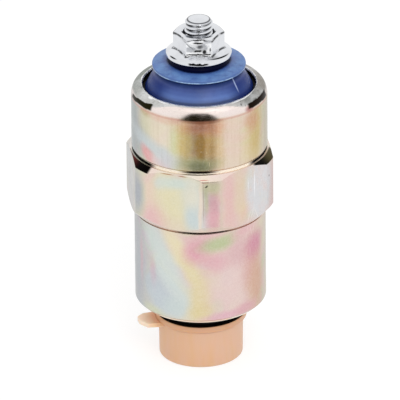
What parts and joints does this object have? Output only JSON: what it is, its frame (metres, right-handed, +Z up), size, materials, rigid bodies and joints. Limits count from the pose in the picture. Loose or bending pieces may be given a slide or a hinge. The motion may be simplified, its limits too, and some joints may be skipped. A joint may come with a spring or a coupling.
{
  "type": "fuel shutoff solenoid",
  "caption": "Screw-in stop solenoid: turned steel housing with a spanner hexagon, blue terminal insulator, stud and flange nut, and a pull-off nose cap.",
  "frame": {"origin": "centre of the cap's flat underside, on the housing's axis, where the part stands", "axes": "+Z up the axis from the capped nose to the terminal stud; -Y is the front, and the cap's pull tab points to -X"},
  "size_m": [0.0252, 0.026, 0.0633],
  "materials": {
    "zinc_yellow": "yellow passivated zinc plate on turned steel, satin",
    "zinc_bright": "bright clear zinc plate",
    "steel": "turned soft magnetic steel",
    "spring_steel": "drawn spring steel",
    "brass": "drawn brass",
    "copper": "enamelled copper wire",
    "blue_moulding": "blue moulded plastic, semi-gloss",
    "peach_plastic": "peach moulded plastic, slightly translucent",
    "black_rubber": "black rubber",
    "white_nylon": "natural nylon moulding",
    "brown_fibre": "vulcanised fibre sheet",
    "yellow_tape": "polyester coil tape"
  },
  "bodies": {
    "housing": {"housing": "zinc_yellow", "nose_o_ring": "black_rubber", "return_spring": "spring_steel", "guide_sleeve": "brass", "wave_washer": "spring_steel", "coil_bobbin": "white_nylon", "coil_winding": "copper", "winding_tape": "yellow_tape", "top_plate": "steel", "pole_piece": "steel", "live_lead": "copper", "earth_lead": "copper", "lead_sleeve": "black_rubber", "insulating_disc": "brown_fibre", "contact_tag": "brass", "insulator": "blue_moulding", "rim_o_ring": "black_rubber", "terminal_stud": "zinc_bright", "stud_o_ring": "black_rubber", "terminal_nut": "zinc_bright"},
    "plunger": {"plunger": "steel", "plunger_seat": "black_rubber"},
    "nose_cap": {"nose_cap": "peach_plastic"}
  },
  "joints": [
    {"name": "plunger_slide", "type": "slide", "parent": "housing", "child": "plunger", "axis": [0, 0, 1], "range_m": [0, 0.0012], "stiffness_N_per_m": 500, "springref_m": -0.006, "deforming": ["return_spring"]},
    {"name": "cap_pull", "type": "slide", "parent": "housing", "child": "nose_cap", "axis": [0, 0, -1], "range_m": [0, 0.014]}
  ]
}
